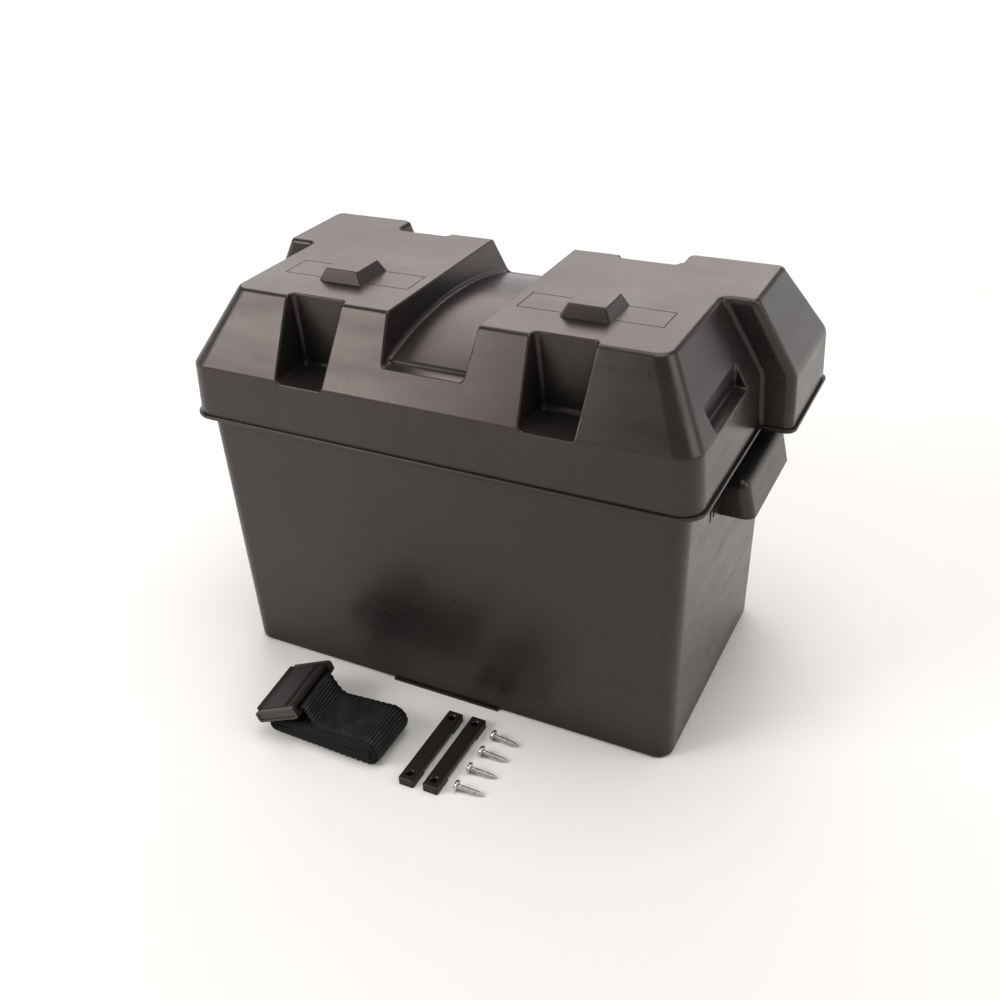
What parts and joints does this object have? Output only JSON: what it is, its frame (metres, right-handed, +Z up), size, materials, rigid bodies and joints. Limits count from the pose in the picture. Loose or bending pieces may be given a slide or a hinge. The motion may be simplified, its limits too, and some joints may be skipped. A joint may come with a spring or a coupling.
{
  "type": "battery box",
  "caption": "Moulded plastic battery box with lift-off vented lid, carrying ledges, and loose webbing strap, cam buckle, strap brackets and screws.",
  "frame": {"origin": "centre of the case's underside, on the floor", "axes": "+X towards the right-hand end, along the case's long side; -Y is the front; +Z up"},
  "size_m": [0.413, 0.3046, 0.2933],
  "materials": {
    "case_plastic": "fine satin moulded polypropylene",
    "lid_plastic": "fine satin moulded polypropylene",
    "webbing": "ribbed woven webbing",
    "buckle_plastic": "satin moulded nylon",
    "bracket_plastic": "satin moulded nylon",
    "steel": "bright plated steel"
  },
  "bodies": {
    "case": {"case": "case_plastic"},
    "lid": {"lid": "lid_plastic"},
    "strap": {"strap_webbing": "webbing", "buckle_frame": "buckle_plastic", "buckle_pin": "steel"},
    "buckle_lever": {"buckle_lever": "buckle_plastic"},
    "strap_bracket_1": {"strap_bracket_1": "bracket_plastic"},
    "strap_bracket_2": {"strap_bracket_2": "bracket_plastic"},
    "bracket_screw_1": {"bracket_screw_1": "steel"},
    "bracket_screw_2": {"bracket_screw_2": "steel"},
    "bracket_screw_3": {"bracket_screw_3": "steel"},
    "bracket_screw_4": {"bracket_screw_4": "steel"}
  },
  "joints": [
    {"name": "lid_lift", "type": "slide", "parent": "case", "child": "lid", "axis": [0, 0, 1], "range_m": [0, 0.12]},
    {"name": "strap_lift", "type": "slide", "parent": "case", "child": "strap", "axis": [0, 0, 1], "range_m": [0, 0.1]},
    {"name": "buckle_lever_hinge", "type": "hinge", "parent": "strap", "child": "buckle_lever", "pos_m": [-0.07559, -0.15704, 0.02824], "axis": [-0.1045, 0.9945, 0], "range_deg": [0, 95]},
    {"name": "strap_bracket_1_lift", "type": "slide", "parent": "case", "child": "strap_bracket_1", "axis": [0, 0, 1], "range_m": [0, 0.06]},
    {"name": "strap_bracket_2_lift", "type": "slide", "parent": "case", "child": "strap_bracket_2", "axis": [0, 0, 1], "range_m": [0, 0.06]},
    {"name": "bracket_screw_1_lift", "type": "slide", "parent": "case", "child": "bracket_screw_1", "axis": [0, 0, 1], "range_m": [0, 0.06]},
    {"name": "bracket_screw_2_lift", "type": "slide", "parent": "case", "child": "bracket_screw_2", "axis": [0, 0, 1], "range_m": [0, 0.06]},
    {"name": "bracket_screw_3_lift", "type": "slide", "parent": "case", "child": "bracket_screw_3", "axis": [0, 0, 1], "range_m": [0, 0.06]},
    {"name": "bracket_screw_4_lift", "type": "slide", "parent": "case", "child": "bracket_screw_4", "axis": [0, 0, 1], "range_m": [0, 0.06]}
  ]
}
